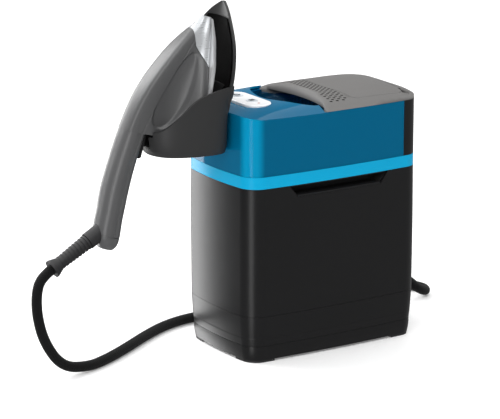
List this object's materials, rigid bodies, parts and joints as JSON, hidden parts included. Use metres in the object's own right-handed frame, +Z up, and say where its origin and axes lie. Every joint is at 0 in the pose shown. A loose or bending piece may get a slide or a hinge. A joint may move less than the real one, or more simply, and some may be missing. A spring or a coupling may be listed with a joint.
{
  "type": "pressurised steam station with a docked steam head",
  "caption": "Steam station: bowed base on feet with a clear tinted top, lift-out water tank with a lid, and a steam head standing in a front dock on a long hose.",
  "frame": {"origin": "centre of the base's footprint, on the floor", "axes": "+Z up, -Y towards the dock and the steam head, +Y towards the gland and the mains inlet, +X to the side away from the hose"},
  "size_m": [0.2889, 0.5554, 0.3905],
  "materials": {
    "charcoal_plastic": "satin",
    "dark_plastic": "satin",
    "band_blue": "gloss",
    "clear_blue": "clear tinted plastic",
    "clear_tank": "clear tinted plastic",
    "warm_grey": "satin",
    "panel_white": "gloss",
    "button_grey": "satin",
    "led": "gloss",
    "rubber": "matte",
    "seal_rubber": "matte",
    "chrome_nose": "polished",
    "head_grey": "satin",
    "aluminium": "satin",
    "steel": "brushed",
    "brass": "satin",
    "copper": "satin",
    "board_green": "satin",
    "natural_plastic": "satin",
    "hose_grey": "matte"
  },
  "bodies": {
    "base": {"base_tray": "charcoal_plastic", "rubber_feet": "rubber", "base_skirt": "charcoal_plastic", "main_housing": "charcoal_plastic", "grip_cups": "dark_plastic", "trim_band": "band_blue", "upper_shell": "clear_blue", "rear_panel": "charcoal_plastic", "chassis_plate": "dark_plastic", "front_column": "dark_plastic", "control_panel": "panel_white", "control_board": "board_green", "status_light": "led", "dock": "head_grey", "dock_liner": "dark_plastic", "dock_screws": "steel", "boiler_lower": "steel", "boiler_upper": "steel", "boiler_gasket": "seal_rubber", "boiler_bolts": "steel", "boiler_cradle": "aluminium", "boiler_heater": "aluminium", "thermostat": "natural_plastic", "thermal_fuse": "natural_plastic", "safety_valve": "brass", "steam_valve": "brass", "drain_plug": "brass", "pump": "dark_plastic", "power_board": "board_green", "water_pipe": "natural_plastic", "steam_pipe": "copper", "tank_socket": "natural_plastic", "socket_seal": "seal_rubber", "hose_gland": "dark_plastic", "mains_inlet": "dark_plastic", "case_screws": "steel", "steam_hose_front": "hose_grey", "steam_hose_rear": "hose_grey", "hose_coil": "hose_grey"},
    "tank": {"water_tank": "clear_tank", "tank_cover": "warm_grey", "tank_valve": "natural_plastic", "lid_hinge_pin": "steel"},
    "lid": {"filler_lid": "warm_grey", "lid_seal": "seal_rubber"},
    "power_button": {"power_button": "button_grey"},
    "mode_button": {"mode_button": "button_grey"},
    "steam_head": {"nose_cover": "chrome_nose", "handle_cover": "head_grey", "head_body": "head_grey", "handle_end_cap": "head_grey", "soleplate": "aluminium", "steam_chamber": "aluminium", "head_heater": "steel", "sole_gasket": "seal_rubber", "head_steam_pipe": "copper", "trigger_pin": "steel", "trigger_switch": "dark_plastic", "strain_relief": "rubber"},
    "trigger": {"trigger": "dark_plastic"}
  },
  "joints": [
    {"name": "tank_lift", "type": "slide", "parent": "base", "child": "tank", "axis": [0, 0, 1], "range_m": [0, 0.12]},
    {"name": "lid_hinge", "type": "hinge", "parent": "tank", "child": "lid", "pos_m": [0, 0.1012, 0.2753], "axis": [-1, 0, 0], "range_deg": [0, 80]},
    {"name": "power_press", "type": "slide", "parent": "base", "child": "power_button", "axis": [0, 0, -1], "range_m": [0, 0.0015], "stiffness_N_per_m": 500},
    {"name": "mode_press", "type": "slide", "parent": "base", "child": "mode_button", "axis": [0, 0, -1], "range_m": [0, 0.0015], "stiffness_N_per_m": 500},
    {"name": "head_lift", "type": "slide", "parent": "base", "child": "steam_head", "axis": [0, 0, 1], "range_m": [0, 0.12]},
    {"name": "trigger_squeeze", "type": "hinge", "parent": "steam_head", "child": "trigger", "pos_m": [0, -0.20587, 0.26743], "axis": [-1, 0, 0], "range_deg": [0, 6], "stiffness_Nm_per_rad": 0.6, "springref_deg": -2.86}
  ]
}
